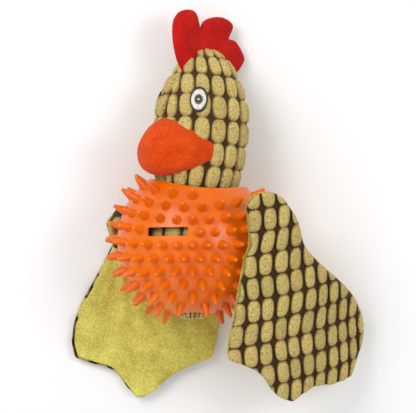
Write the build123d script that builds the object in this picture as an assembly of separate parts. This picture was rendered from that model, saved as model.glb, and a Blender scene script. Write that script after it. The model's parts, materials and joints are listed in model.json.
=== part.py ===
from build123d import *
import os
from math import sin, cos, radians, sqrt

# A soft toy chicken lying on its back. A spiky rubber ball is its body, a plush tube comes
# out of the ball as neck and head, and two flat wings come out of the ball's sides.
# Toy frame while it is built: origin at the ball's centre, +Y out of the neck opening,
# +Z out of the front. Millimetres.

# ---- driving sizes ---------------------------------------------------------------------

# rubber ball
ball_radius = 45.6
ball_half_depth = 36.0
ball_wall = 3.0
spike_height = 7.8
spike_base_radius = 2.9
spike_tip_radius = 1.25
spike_root_depth = 1.5
spike_row_step = 11.7        # degrees between rows
spike_rows_below = 6
spike_rows_above = 5
spikes_on_equator = 26
spike_thinning = 1.6         # how fast the rows lose spikes towards the poles
spike_tilt = 8.0             # degrees, the rows lean towards the front
slot_length = 25.0
slot_height = 5.2
slot_corner = 0.8
slot_azimuth = -24.0         # degrees round the neck axis from the front
slot_up = 4.7
neck_hole_across = 58.4
neck_hole_deep = 53.2
wing_hole_radius = 8.0
tail_hole_radius = 11.0
opening_margin = 0.6         # bare rubber between a spike and an opening

# neck and head
neck_offset = 3.0            # the neck's axis lies this far to the right
neck_radius = 24.6
neck_bottom = 10.0
neck_thread_size = 1.2
pivot_height = 45.0
head_radius = 28.8
head_straight = 25.0         # from the pivot to where the crown starts
crown_side_radius = 62.0     # roundness of the crown's side
crown_turn = 40.0            # degrees, where the side meets the round top
head_lean = 4.4              # degrees, towards the right
face_azimuth = -50.0         # degrees round the head from the front, where the beak points
cover_thickness = 2.4
fit_gap = 0.3
stitch_gap = 0.1

# comb
comb_face_thickness = 1.8
comb_padding_thickness = 2.6
comb_hem = 2.0               # the wadding stays this far inside the comb's edge
comb_half_width = 28.0
comb_root = 22.0             # its outline starts this far above the head's straight side

# beak
beak_half_width = 27.0
beak_half_height = 17.0
beak_half_length = 20.0
beak_out = 22.0              # its middle lies this far from the head's axis
beak_height = 8.5            # above the pivot
beak_cover_thickness = 1.6

# eyes, embroidered one layer on another
eye_height = 38.3            # above the pivot
eye_azimuth = 45.0           # degrees from the beak to each eye
eye_layer = 0.6
eye_outline_size = (5.4, 8.0)
eye_white_size = (4.8, 6.9)
eye_pupil_size = (3.0, 3.6)
eye_glint_size = (0.8, 0.8)

# torso and squeaker
torso_radius = 29.0
torso_middle = -8.0          # the widest place of the torso, from the ball's centre
torso_top = 8.0
torso_tail = 48.0
squeaker_radius = 12.0
squeaker_wall = 1.0
housing_radius = 4.0
housing_length = 9.0
reed_thickness = 0.4

# wings
wing_plush_thickness = 5.0
wing_film_thickness = 0.5
wing_lining_thickness = 1.4
strip_width = 12.0
strip_thickness = 4.0
seam_length = 10.0
seam_thickness = 1.6
lean_start = 28.0            # degrees, slope of the left wing at its edge on the ball
lean_radius = 206.0          # its roundness across
lean_drop = 8.3              # degrees, slope along its length, down to its tips
lean_height = 46.0           # its top corner above the ball's centre
lean_corner = (31.0, 33.5)   # where that corner lies
left_seam_y = 25.0           # the seam of each wing lies here, from the ball's centre
left_seam_turn = 4.0         # degrees round the roll from the wing's inner edge
left_strip_out = 6.0         # how far each strip stands out of its opening before it bends
right_seam_place = (-45.0, -6.0)
right_strip_out = 9.0
strip_bend = 4.0
strip_end_gap = 3.6           # room between a slanting strip end and its seam

# how it lies
toy_tilt = 11.7              # degrees, the head end sinks until the crown touches the floor
spike_reach_radius = ball_radius + spike_height
spike_reach_depth = ball_half_depth + spike_height
floor_below = sqrt((spike_reach_radius * sin(radians(toy_tilt))) ** 2
                   + (spike_reach_depth * cos(radians(toy_tilt))) ** 2)

toy_pose = Rot(X=-toy_tilt)
neck_pose = Pos(neck_offset, 0, 0)
head_pose = Pos(neck_offset, pivot_height, 0) * Rot(Z=-head_lean)


# ---- shapes used by several pieces -----------------------------------------------------

def oblate(across, deep):
    """A ball of radius across, squashed to half depth deep along Z."""
    return scale(Sphere(1), by=(across, across, deep))


def rod_y(radius, y_low, y_high):
    """A round rod along Y."""
    return Plane.XZ.offset(-y_low) * extrude(Circle(radius), -(y_high - y_low))


def ball_point(direction):
    """Where a ray from the centre leaves the ball, and the outward normal there."""
    flat = ball_radius ** 2
    deep = ball_half_depth ** 2
    reach = 1 / sqrt((direction.X ** 2 + direction.Y ** 2) / flat + direction.Z ** 2 / deep)
    point = direction * reach
    normal = Vector(point.X / flat, point.Y / flat, point.Z / deep).normalized()
    return point, normal


def toward(azimuth, latitude):
    """Unit vector at an azimuth round Y from the front and a latitude towards the neck."""
    a = radians(azimuth)
    b = radians(latitude)
    return Vector(sin(a) * cos(b), sin(b), cos(a) * cos(b))


# ---- rubber ball -----------------------------------------------------------------------

left_hole_direction = toward(64, 18)
right_hole_direction = toward(-104, 18)


def make_spike():
    start = spike_height - spike_tip_radius
    tip_side = spike_tip_radius * sin(radians(45))
    corner = (spike_tip_radius, start)
    top = (0, spike_height)
    outline = [
        Line((0, -spike_root_depth), (spike_base_radius, -spike_root_depth)),
        Line((spike_base_radius, -spike_root_depth), (spike_base_radius, 0)),
        Line((spike_base_radius, 0), corner),
        ThreePointArc(corner, (tip_side, start + tip_side), top),
        Line(top, (0, -spike_root_depth)),
    ]
    return revolve(Plane.XZ * make_face(outline), Axis.Z, 360)


def slot_frame():
    azimuth = radians(slot_azimuth)
    level = sqrt(1 - (slot_up / ball_radius) ** 2)
    direction = Vector(sin(azimuth) * level, slot_up / ball_radius, cos(azimuth) * level)
    point, normal = ball_point(direction)
    flat_normal = Vector(normal.X, 0, normal.Z).normalized()
    across = Vector(0, 1, 0).cross(flat_normal)
    return Plane(origin=point, x_dir=across, z_dir=flat_normal)


def near_opening(point, slot_plane):
    """True where a spike would stand on or beside an opening."""
    keep_out = spike_base_radius + opening_margin
    across = (point.X - neck_offset) / (neck_hole_across / 2 + keep_out)
    deep = point.Z / (neck_hole_deep / 2 + keep_out)
    if point.Y > 0 and across ** 2 + deep ** 2 < 1:
        return True
    if point.Y < 0 and sqrt(point.X ** 2 + point.Z ** 2) < tail_hole_radius + keep_out:
        return True
    for direction in (left_hole_direction, right_hole_direction):
        centre, _ = ball_point(direction)
        if (point - centre).length < wing_hole_radius + keep_out:
            return True
    local = slot_plane.to_local_coords(point)
    beside = abs(local.X) < slot_length / 2 + keep_out
    level = abs(local.Y) < slot_height / 2 + keep_out
    return beside and level and local.Z > -ball_half_depth / 2


def make_ball(strips):
    """Hollow ball with its spikes and openings. No spike stands where a wing's strip lies."""
    slot_plane = slot_frame()
    spike = make_spike()
    strips = [toy_pose.inverse() * strip for strip in strips]
    spikes = []
    for row in range(-spike_rows_below, spike_rows_above):
        latitude = 1 + spike_row_step * row
        if abs(latitude) > 88:
            continue
        count = max(1, round(spikes_on_equator * cos(radians(latitude)) ** spike_thinning))
        for k in range(count):
            direction = toward(360 * (k + 0.5 * (row % 2)) / count, latitude)
            point, normal = ball_point(direction.rotate(Axis.X, spike_tilt))
            if near_opening(point, slot_plane):
                continue
            placed = Plane(origin=point, z_dir=normal) * spike
            if all(placed.distance_to(strip) > opening_margin for strip in strips):
                spikes.append(placed)
    body = oblate(ball_radius, ball_half_depth).fuse(*spikes)
    body = body - oblate(ball_radius - ball_wall, ball_half_depth - ball_wall)
    neck_cut = extrude(Plane.XZ * Ellipse(neck_hole_across / 2, neck_hole_deep / 2), -2 * ball_radius)
    body = body - neck_pose * neck_cut
    body = body - rod_y(tail_hole_radius, -2 * ball_radius, 0)
    for direction in (left_hole_direction, right_hole_direction):
        centre, normal = ball_point(direction)
        bore = Plane(origin=centre - normal * 4 * ball_wall, z_dir=normal)
        body = body - bore * extrude(Circle(wing_hole_radius), 8 * ball_wall)
    opening = RectangleRounded(slot_length, slot_height, slot_corner)
    body = body - slot_plane.offset(-5 * ball_wall) * extrude(opening, 8 * ball_wall)
    return body


# ---- torso, its filling and the squeaker -----------------------------------------------

def torso_shape(shrink):
    """Egg about Y inside the ball: flat top under the neck, and a tail in the tail opening."""
    radius = torso_radius - shrink
    tail = tail_hole_radius - 3 * fit_gap - shrink
    top = torso_top - shrink
    bottom = shrink - torso_tail
    belly = torso_middle
    waist = belly - torso_radius
    bend = radians(45)
    outline = [
        Line((0, bottom), (tail, bottom)),
        Line((tail, bottom), (tail, waist)),
        ThreePointArc((tail, waist), (radius * sin(bend), belly - radius * cos(bend)), (radius, belly)),
        Line((radius, belly), (radius, top)),
        Line((radius, top), (0, top)),
        Line((0, top), (0, bottom)),
    ]
    return revolve(make_face(outline), Axis.Y, 360)


squeaker_place = Pos(0, -torso_radius / 2, 0)


def make_squeaker():
    """Round bulb, its plug, the reed in the plug, and the room they need in the filling."""
    plug_low = squeaker_radius - housing_length / 2
    plug_high = plug_low + housing_length
    bore_radius = housing_radius - squeaker_wall
    bulb = Sphere(squeaker_radius) - Sphere(squeaker_radius - squeaker_wall)
    bulb = bulb - rod_y(housing_radius + stitch_gap, plug_low - 1, plug_high + 1)
    plug = rod_y(housing_radius, plug_low, plug_high) - rod_y(bore_radius, plug_low - 1, plug_high + 1)
    reed_low = plug_low + housing_length / 3
    reed = rod_y(bore_radius - stitch_gap, reed_low, reed_low + reed_thickness)
    room = Sphere(squeaker_radius + stitch_gap)
    room = room + rod_y(housing_radius + stitch_gap, plug_low, plug_high + stitch_gap)
    return squeaker_place * bulb, squeaker_place * plug, squeaker_place * reed, squeaker_place * room


# ---- neck ------------------------------------------------------------------------------

def make_neck():
    """Short tube in the neck opening. Its top is a cup for the round lower end of the head."""
    cup = Pos(0, pivot_height, 0) * Sphere(head_radius - 1 + fit_gap)
    outer = rod_y(neck_radius, neck_bottom, pivot_height)
    hollow = rod_y(neck_radius - cover_thickness, neck_bottom + cover_thickness, pivot_height + 1)
    gap = cover_thickness + stitch_gap
    filling = rod_y(neck_radius - gap, neck_bottom + gap, pivot_height)
    thread_low = neck_bottom - stitch_gap - neck_thread_size
    thread = rod_y(neck_radius - neck_thread_size, thread_low, neck_bottom - stitch_gap)
    thread = thread - rod_y(neck_radius - 2 * neck_thread_size, thread_low - 1, neck_bottom)
    cover = keep_lowest(outer - hollow - cup)
    filling = keep_lowest(filling - cup)
    return neck_pose * cover, neck_pose * filling, neck_pose * thread


def keep_lowest(shape):
    """The solid nearest the torso, where a cut left more than one."""
    return shape.solids().sort_by(Axis.Y)[0]


# ---- head ------------------------------------------------------------------------------

def head_shape(shrink):
    """Bullet about Y: round lower end about the pivot, straight side, rounded crown."""
    radius = head_radius - shrink
    low = radius - 1
    low_side = low * sin(radians(45))
    side_middle = head_radius - crown_side_radius
    turn = radians(crown_turn)

    def on_side(angle):
        reach = crown_side_radius - shrink
        return (side_middle + reach * cos(angle), head_straight + reach * sin(angle))

    cap_radius = crown_side_radius + side_middle / cos(turn)
    cap_middle = head_straight - side_middle * sin(turn) / cos(turn)
    top = cap_middle + cap_radius - shrink
    cap_angle = (turn + radians(90)) / 2
    on_cap = ((cap_radius - shrink) * cos(cap_angle), cap_middle + (cap_radius - shrink) * sin(cap_angle))
    outline = [
        ThreePointArc((0, -low), (low_side, -low_side), (low, 0)),
        Line((low, 0), (radius, head_straight / 2)),
        Line((radius, head_straight / 2), (radius, head_straight)),
        ThreePointArc((radius, head_straight), on_side(turn / 2), on_side(turn)),
        ThreePointArc(on_side(turn), on_cap, (0, top)),
        Line((0, top), (0, -low)),
    ]
    return revolve(make_face(outline), Axis.Y, 360)


def comb_outline():
    """Three rounded lobes on the crown, seen from the side: X to the front, Y up."""
    front_base = (19.0, 61.0)
    front_notch = (6.7, 82.3)
    back_notch = (-15.3, 80.0)
    back_base = (-24.0, 63.0)
    outline = [
        Spline(front_base, (25.8, 69.5), (27.5, 83.8), (15.7, 93.5), (10.3, 92.1), front_notch),
        Spline(front_notch, (-2.6, 91.3), (-10.2, 92.4), (-16.1, 90.6), (-18.3, 87.1), back_notch),
        Spline(back_notch, (-21.0, 79.5), (-29.8, 71.6), back_base),
        Line(back_base, (0, head_straight + comb_root)),
        Line((0, head_straight + comb_root), front_base),
    ]
    return make_face(outline)


def make_comb():
    """Two fleece faces with wadding between them, cut to the crown."""
    crown = head_shape(-stitch_gap)
    half = comb_padding_thickness / 2
    outline = comb_outline()
    left = Pos(0, 0, half + stitch_gap) * extrude(outline, comb_face_thickness)
    right = Pos(0, 0, -half - stitch_gap) * extrude(outline, -comb_face_thickness)
    root = Pos(0, head_straight + comb_root, 0)
    inset = root * scale(root.inverse() * outline, by=1 - comb_hem / comb_half_width)
    middle = extrude(inset, half, both=True)
    turn = Rot(Y=face_azimuth - 90)
    return [turn * largest(piece - crown) for piece in (left, right, middle)]


def largest(shape):
    """The biggest solid, where a cut left crumbs."""
    return shape.solids().sort_by(SortBy.VOLUME)[-1]


def make_beak():
    """A fleece pillow over the face and its filling, cut to the head."""
    place = Rot(Y=face_azimuth) * Pos(0, beak_height, beak_out)

    def pillow(shrink):
        sizes = (beak_half_width - shrink, beak_half_height - shrink, beak_half_length - shrink)
        return place * scale(Sphere(1), by=sizes)

    cover = pillow(0) - head_shape(-stitch_gap) - pillow(beak_cover_thickness)
    filling = pillow(beak_cover_thickness + stitch_gap) - head_shape(-2 * stitch_gap)
    return largest(cover), largest(filling)


def make_eye(side):
    """Four oval layers of embroidery that follow the crown. side is +1 or -1."""
    turn = Rot(Y=face_azimuth + side * eye_azimuth)
    layers = []
    rise = stitch_gap
    for half_width, half_height in (eye_outline_size, eye_white_size, eye_pupil_size, eye_glint_size):
        oval = extrude(Ellipse(half_width, half_height), 2 * head_radius)
        oval = turn * Pos(0, eye_height, 0) * oval
        layer = (head_shape(-rise - eye_layer) - head_shape(-rise)) & oval
        layers.append(largest(layer))
        rise = rise + eye_layer + stitch_gap
    return layers


# ---- wings -----------------------------------------------------------------------------

def left_outline():
    """The left wing from above, round the ball's centre: narrow top, three scalloped points."""
    top_right = (54.0, 29.0)
    outer_point = (98.0, -90.0)
    middle_point = (60.0, -98.0)
    inner_point = (21.0, -66.0)
    edges = [
        Spline((31.0, 26.0), (35.0, 33.0), (45.0, 34.5), top_right),
        Spline(top_right, (63.0, 13.0), (66.0, 0.0), (78.0, -15.0), (90.0, -27.5),
               (101.0, -43.0), (106.0, -64.0), outer_point),
        Spline(outer_point, (86.0, -91.5), (73.0, -90.5), middle_point),
        Spline(middle_point, (49.0, -90.5), (41.0, -78.0), (32.0, -71.5), inner_point),
        Spline(inner_point, (20.5, -56.0), (24.0, -40.0), (30.0, -8.0), (33.5, 6.0), (31.0, 26.0)),
    ]
    return make_face(edges)


def right_outline():
    """The right wing from above, flat on the floor. Its hidden edge keeps clear of the ball."""
    top_left = (-50.0, -8.0)
    outer_point = (-74.0, -80.0)
    middle_point = (-35.0, -106.0)
    inner_point = (11.5, -80.0)
    top_right = (-36.0, 2.0)
    edges = [
        Spline(top_left, (-56.0, -20.0), (-62.5, -32.0), (-72.0, -50.0), (-76.0, -68.0), outer_point),
        Spline(outer_point, (-65.0, -83.0), (-50.0, -88.0), (-42.0, -98.0), middle_point),
        Spline(middle_point, (-25.0, -101.5), (-14.0, -91.0), (0.0, -84.0), inner_point),
        Spline(inner_point, (15.6, -60.0), (13.0, -48.0), (-4.0, -37.5), (-22.0, -30.0),
               (-33.0, -16.0), top_right),
        Line(top_right, top_left),
    ]
    return make_face(edges)


def layer_heights():
    """Bottom and top of lining, film and plush, counted from the lining's free side."""
    lining = (0, wing_lining_thickness)
    film_low = lining[1] + stitch_gap
    film = (film_low, film_low + wing_film_thickness)
    plush_low = film[1] + stitch_gap
    plush = (plush_low, plush_low + wing_plush_thickness)
    return lining, film, plush


wing_thickness = layer_heights()[2][1]


def lean_frame():
    """Frame of the roll that the left wing is part of: origin on its axis, Z up the wing."""
    slope = radians(lean_drop)
    up_wing = Vector(0, cos(slope), sin(slope))
    away = Vector(0, -sin(slope), cos(slope))
    corner = Vector(lean_corner[0], lean_corner[1], lean_height)
    start = radians(lean_start)
    centre = corner - Vector(1, 0, 0) * lean_radius * sin(start) - away * lean_radius * cos(start)
    return Plane(origin=centre, x_dir=(1, 0, 0), z_dir=up_wing)


def make_left_wing():
    """Three layers rolled over the ball's side, lime lining inside, plush outside."""
    roll = lean_frame()
    tower = extrude(left_outline(), 2 * lean_radius, both=True)
    inside = lean_radius - wing_thickness / 2
    layers = []
    for low, high in layer_heights():
        ring = Circle(inside + high) - Circle(inside + low)
        sheet = (roll * extrude(ring, lean_radius, both=True)) & tower
        layers.append(sheet.solids().sort_by(Axis.Z)[-1])
    return layers


def make_right_wing():
    """Three layers flat on the floor, plush down, lime lining up."""
    outline = right_outline()
    layers = []
    for low, high in layer_heights():
        base = wing_thickness - high - floor_below
        layers.append(Pos(0, 0, base) * extrude(outline, high - low))
    return layers


def strip_along(points, across):
    """A flat strip of plush along a route, its width in the direction across."""
    route = FilletPolyline(*points, radius=strip_thickness) if len(points) > 2 else Line(*points)
    start = Plane(origin=points[0], x_dir=across, z_dir=route % 0)
    return sweep(start * Rectangle(strip_width, strip_thickness), path=route)


def seam_bar(point, across, normal):
    """The row of stitches that joins the strip to the wing."""
    place = Plane(origin=point, x_dir=across, z_dir=normal)
    return place * Box(seam_length, seam_thickness, seam_thickness)


def world(local_point):
    """A place on the tilted toy, from one in the toy's own frame."""
    return (toy_pose * Pos(*local_point)).position


# Shoulders: where each wing is sewn to its strip. A strip comes out of the ball's side
# opening, and the seam is the stitched bar between the strip's end and the lining.

def left_shoulder():
    """Middle of the left seam, the wing's outward normal there, and the way across it."""
    roll = lean_frame()
    away = Vector(0, -sin(radians(lean_drop)), cos(radians(lean_drop)))
    slope = radians(lean_start + left_seam_turn)
    normal = Vector(1, 0, 0) * sin(slope) + away * cos(slope)
    across = Vector(1, 0, 0) * cos(slope) - away * sin(slope)
    reach = lean_radius - wing_thickness / 2 - fit_gap - seam_thickness / 2
    on_roll = roll.origin + normal * reach
    along = (left_seam_y - on_roll.Y) / roll.z_dir.Y
    return on_roll + roll.z_dir * along, normal, across


def right_shoulder():
    """The same for the right seam, on top of the flat wing's lining."""
    height = wing_thickness + fit_gap + seam_thickness / 2 - floor_below
    point = Vector(right_seam_place[0], right_seam_place[1], height)
    return point, Vector(0, 0, 1), Vector(1, 0, 0)


def make_strip(hole_direction, shoulder, outward, side):
    """Plush strip from inside the side opening, out through it, and on to the wing's seam.
    side is +1 when the seam is on the strip's far face and -1 on the wing's free side."""
    centre, normal = ball_point(hole_direction)
    inside = world(centre - normal * 2 * ball_wall)
    outside = world(centre + normal * outward)
    point, wing_normal, across = shoulder
    end = point + wing_normal * side * (seam_thickness / 2 + fit_gap + strip_end_gap)
    route = FilletPolyline(inside, outside, end, radius=strip_bend)
    width_way = across.cross(normal).cross(normal) * -1
    start = Plane(origin=route @ 0, x_dir=width_way, z_dir=route % 0)
    return sweep(start * Rectangle(strip_width, strip_thickness), path=route)


def make_seam(shoulder):
    """The row of stitches that joins a strip to its wing."""
    point, normal, across = shoulder
    return Plane(origin=point, x_dir=across, z_dir=normal) * Box(seam_length, seam_thickness, seam_thickness)


# ---- all pieces ------------------------------------------------------------------------

pieces = {}


def add(name, shape, pose=Pos(0, 0, 0)):
    pieces[name] = pose * largest(shape)


left_place = left_shoulder()
right_place = right_shoulder()
left_strip = make_strip(left_hole_direction, left_place, left_strip_out, -1)
right_strip = make_strip(right_hole_direction, right_place, right_strip_out, 1)

add("left_wing_root", left_strip)
add("left_wing_seam", make_seam(left_place))
for layer_name, layer in zip(("lining", "film", "plush"), make_left_wing()):
    add("left_wing_" + layer_name, layer)

add("right_wing_root", right_strip)
add("right_wing_seam", make_seam(right_place))
for layer_name, layer in zip(("lining", "film", "plush"), make_right_wing()):
    add("right_wing_" + layer_name, layer)

add("spiked_ball", make_ball([left_strip, right_strip]), toy_pose)

bulb, plug, reed, squeaker_room = make_squeaker()
add("torso_cover", torso_shape(0) - torso_shape(cover_thickness), toy_pose)
add("torso_stuffing", torso_shape(cover_thickness + stitch_gap) - squeaker_room, toy_pose)
add("squeaker_bulb", bulb, toy_pose)
add("squeaker_housing", plug, toy_pose)
add("squeaker_reed", reed, toy_pose)

neck_cover, neck_stuffing, neck_thread = make_neck()
add("neck_cover", neck_cover, toy_pose)
add("neck_stuffing", neck_stuffing, toy_pose)
add("neck_thread", neck_thread, toy_pose)

on_head = toy_pose * head_pose
add("head_cover", head_shape(0) - head_shape(cover_thickness), on_head)
add("head_stuffing", head_shape(cover_thickness + stitch_gap), on_head)
comb_left, comb_right, comb_padding = make_comb()
add("comb_left", comb_left, on_head)
add("comb_right", comb_right, on_head)
add("comb_padding", comb_padding, on_head)
beak_cover, beak_stuffing = make_beak()
add("beak_cover", beak_cover, on_head)
add("beak_stuffing", beak_stuffing, on_head)
for eye_name, side in (("left", 1), ("right", -1)):
    for layer_name, layer in zip(("outline", "white", "pupil", "glint"), make_eye(side)):
        add(eye_name + "_eye_" + layer_name, layer, on_head)

# The origin is moved to the middle of the base of everything.
boxes = [shape.bounding_box() for shape in pieces.values()]
low = Vector(*(min(getattr(box.min, way) for box in boxes) for way in "XYZ"))
high = Vector(*(max(getattr(box.max, way) for box in boxes) for way in "XYZ"))
to_base = Pos(-(low.X + high.X) / 2, -(low.Y + high.Y) / 2, -low.Z)
print("size", [round(v, 2) for v in high - low])

os.makedirs("parts", exist_ok=True)
for name, shape in pieces.items():
    print(name, len(shape.solids()), round(shape.volume, 1), shape.is_valid)
    export_step(to_base * shape, "parts/" + name + ".step")


def tell(name, point, direction):
    """Prints a joint's place in metres and its direction, for the record."""
    place = (to_base * Pos(*point)).position / 1000
    print(name, [round(v, 5) for v in place], [round(v, 4) for v in direction.normalized()])


nod_way = Vector(cos(radians(face_azimuth)), 0, -sin(radians(face_azimuth)))
tell("neck_turn", world((neck_offset, pivot_height, 0)), world((0, 1, 0)))
tell("head_nod", world((neck_offset, pivot_height, 0)), world(nod_way))
for side_name, (point, normal, across) in (("left", left_place), ("right", right_place)):
    tell(side_name + "_wing_swing", point, normal)
    tell(side_name + "_wing_lift", point, across)
slot_plane = slot_frame()
tell("slot", world(slot_plane.origin), world(slot_plane.z_dir))
print("ball centre", [round(v / 1000, 5) for v in to_base.position])
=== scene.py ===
import bpy
import json
import math
import numpy as np
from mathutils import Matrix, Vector, noise


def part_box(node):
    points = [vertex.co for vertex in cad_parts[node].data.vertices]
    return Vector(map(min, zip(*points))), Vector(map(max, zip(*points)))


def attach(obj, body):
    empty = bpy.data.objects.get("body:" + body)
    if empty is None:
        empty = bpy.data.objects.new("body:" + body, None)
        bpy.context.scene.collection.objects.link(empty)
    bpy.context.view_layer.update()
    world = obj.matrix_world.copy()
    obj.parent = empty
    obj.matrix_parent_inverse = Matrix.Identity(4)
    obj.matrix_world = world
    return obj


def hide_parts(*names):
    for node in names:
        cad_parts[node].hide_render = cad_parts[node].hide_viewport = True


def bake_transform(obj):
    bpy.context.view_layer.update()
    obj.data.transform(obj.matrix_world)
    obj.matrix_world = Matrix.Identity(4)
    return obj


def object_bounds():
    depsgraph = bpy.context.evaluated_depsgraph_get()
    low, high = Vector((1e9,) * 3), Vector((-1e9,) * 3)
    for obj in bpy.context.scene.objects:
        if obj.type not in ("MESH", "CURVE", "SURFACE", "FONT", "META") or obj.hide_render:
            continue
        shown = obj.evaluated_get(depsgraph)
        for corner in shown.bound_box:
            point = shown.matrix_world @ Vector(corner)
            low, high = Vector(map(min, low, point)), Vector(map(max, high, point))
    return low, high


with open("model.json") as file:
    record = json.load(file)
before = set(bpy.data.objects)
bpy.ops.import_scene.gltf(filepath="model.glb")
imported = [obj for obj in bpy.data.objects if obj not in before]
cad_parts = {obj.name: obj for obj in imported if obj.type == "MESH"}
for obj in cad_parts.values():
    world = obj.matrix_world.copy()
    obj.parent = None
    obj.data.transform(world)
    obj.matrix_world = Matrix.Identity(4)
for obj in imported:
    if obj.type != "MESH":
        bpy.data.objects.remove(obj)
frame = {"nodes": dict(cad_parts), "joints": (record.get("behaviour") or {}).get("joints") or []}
cad_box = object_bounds()

# ---- camera, floor and lights ----------------------------------------------------------
# The toy lies on its back on a white table top. The camera looks almost straight down,
# and three soft boxes stand round it.

neck_joint = {j["name"]: j for j in frame["joints"]}["neck_turn"]
neck_pivot = Vector(neck_joint["pos_m"])
neck_way = Vector(neck_joint["axis"]).normalized()
toy_right = Vector((1, 0, 0))
toy_front = toy_right.cross(neck_way).normalized()
ball_centre = neck_pivot - neck_way * 0.045 - toy_right * 0.003

camera_lean = math.radians(8)
camera_away = 1.39
camera_target = ball_centre + Vector((0.009, 0.0209, 0))
camera_data = bpy.data.cameras.new("toy_camera")
camera_data.lens = 200
camera_data.sensor_width = 36
camera_data.clip_start = 0.05
camera = bpy.data.objects.new("toy_camera", camera_data)
bpy.context.scene.collection.objects.link(camera)
camera.location = camera_target + Vector((0, math.sin(camera_lean), math.cos(camera_lean))) * camera_away
camera.rotation_euler = (-camera_lean, 0, 0)
bpy.context.scene.camera = camera
bpy.context.scene.view_settings.view_transform = "Standard"


def shader(name):
    """A new material and its nodes, links and main shader."""
    made = bpy.data.materials.new(name)
    made.use_nodes = True
    nodes = made.node_tree.nodes
    return made, nodes, made.node_tree.links, nodes["Principled BSDF"]


floor_paint, nodes, links, floor_shader = shader("white_table_top")
floor_shader.inputs["Base Color"].default_value = (0.93, 0.93, 0.93, 1)
floor_shader.inputs["Roughness"].default_value = 0.9
floor_mesh = bpy.data.meshes.new("table_top")
floor_mesh.from_pydata([(-3, -3, 0), (3, -3, 0), (3, 3, 0), (-3, 3, 0)], [], [(0, 1, 2, 3)])
floor = bpy.data.objects.new("table_top", floor_mesh)
floor.data.materials.append(floor_paint)
bpy.context.scene.collection.objects.link(floor)
floor.location.z = cad_box[0][2] - 0.0002

sky = bpy.data.worlds.new("studio_air")
sky.use_nodes = True
sky.node_tree.nodes["Background"].inputs["Color"].default_value = (1, 1, 1, 1)
sky.node_tree.nodes["Background"].inputs["Strength"].default_value = 0.62
bpy.context.scene.world = sky


def soft_box(name, place, size, power):
    """A square soft light that faces the toy."""
    data = bpy.data.lights.new(name, "AREA")
    data.size = size
    data.energy = power
    lamp = bpy.data.objects.new(name, data)
    lamp.location = Vector(place)
    lamp.rotation_euler = (ball_centre - Vector(place)).to_track_quat("-Z", "Y").to_euler()
    bpy.context.scene.collection.objects.link(lamp)


soft_box("soft_box_upper_left", (-0.45, 0.5, 0.75), 0.45, 4.2)
soft_box("soft_box_upper_right", (0.5, 0.25, 0.8), 0.3, 2.2)
soft_box("soft_box_low", (-0.3, -0.7, 0.6), 0.5, 0.7)

# ---- spiked rubber ball ----------------------------------------------------------------
# The hollow body of the toy, moulded in one piece of soft glossy orange rubber, with rows
# of round-ended spikes, a neck opening, two wing openings and a slot in the front.

rubber, nodes, links, body = shader("orange_moulded_rubber")
place = nodes.new("ShaderNodeTexCoord")
clouds = nodes.new("ShaderNodeTexNoise")
clouds.inputs["Scale"].default_value = 38
clouds.inputs["Detail"].default_value = 3
links.new(place.outputs["Object"], clouds.inputs["Vector"])
orange = nodes.new("ShaderNodeValToRGB")
orange.color_ramp.elements[0].position = 0.3
orange.color_ramp.elements[0].color = (0.72, 0.125, 0.0015, 1)
orange.color_ramp.elements[1].position = 0.75
orange.color_ramp.elements[1].color = (0.85, 0.185, 0.003, 1)
links.new(clouds.outputs["Fac"], orange.inputs["Fac"])
links.new(orange.outputs["Color"], body.inputs["Base Color"])
smears = nodes.new("ShaderNodeTexNoise")
smears.inputs["Scale"].default_value = 120
smears.inputs["Detail"].default_value = 4
links.new(place.outputs["Object"], smears.inputs["Vector"])
dullness = nodes.new("ShaderNodeMapRange")
dullness.inputs["From Min"].default_value = 0.3
dullness.inputs["From Max"].default_value = 0.7
dullness.inputs["To Min"].default_value = 0.24
dullness.inputs["To Max"].default_value = 0.36
links.new(smears.outputs["Fac"], dullness.inputs["Value"])
links.new(dullness.outputs["Result"], body.inputs["Roughness"])
skin = nodes.new("ShaderNodeBump")
skin.inputs["Distance"].default_value = 0.0004
skin.inputs["Strength"].default_value = 0.25
links.new(smears.outputs["Fac"], skin.inputs["Height"])
links.new(skin.outputs["Normal"], body.inputs["Normal"])
body.inputs["IOR"].default_value = 1.4
body.inputs["Coat Weight"].default_value = 0.06
body.inputs["Coat Roughness"].default_value = 0.2
body.inputs["Subsurface Weight"].default_value = 0.06
body.inputs["Subsurface Scale"].default_value = 0.003

ball = frame["nodes"]["spiked_ball"]
ball.data.materials.clear()
ball.data.materials.append(rubber)

# ---- torso bag -------------------------------------------------------------------------
# A plush bag inside the ball, stuffed with fibre round its squeaker. Its corn-kernel pile
# is knitted tan on a dark brown ground, and it shows in the slot and the tail opening.

kernel_tones = np.random.default_rng(11).random((7, 61, 67))


def kernel_pile(across, along):
    """Height, cover and tone of the pile, at places counted in kernels across and along."""
    column = np.floor(across)
    row = np.floor(along)
    pick = kernel_tones[:, column.astype(int) % 61, row.astype(int) % 67]
    x = (across - column - 0.5 + 0.07 * (pick[0] - 0.5)) * 2
    y = (along - row - 0.5 + 0.05 * (pick[1] - 0.5)) * 2
    x = (x + 0.16 * (pick[2] - 0.5) * y) / (0.87 + 0.07 * (pick[3] - 0.5))
    y = y / (0.99 + 0.05 * (pick[4] - 0.5))
    reach = (np.abs(x) ** 2.7 + np.abs(y) ** 2.7) ** (1 / 2.7)
    height = np.clip(1 - reach ** 3.6, 0, 1) ** 0.5 * (0.88 + 0.18 * pick[5])
    cover = np.clip((1.03 - reach) / 0.12, 0, 1)
    return height, cover, pick[6]


def tufts(points, size, seed):
    """Small uneven bumps of looped yarn at points in metres, from -1 to 1."""
    shift = Vector((seed * 3.7, seed * 1.3, 0))
    return np.array([noise.noise(Vector(p) / size + shift) for p in points])


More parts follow.
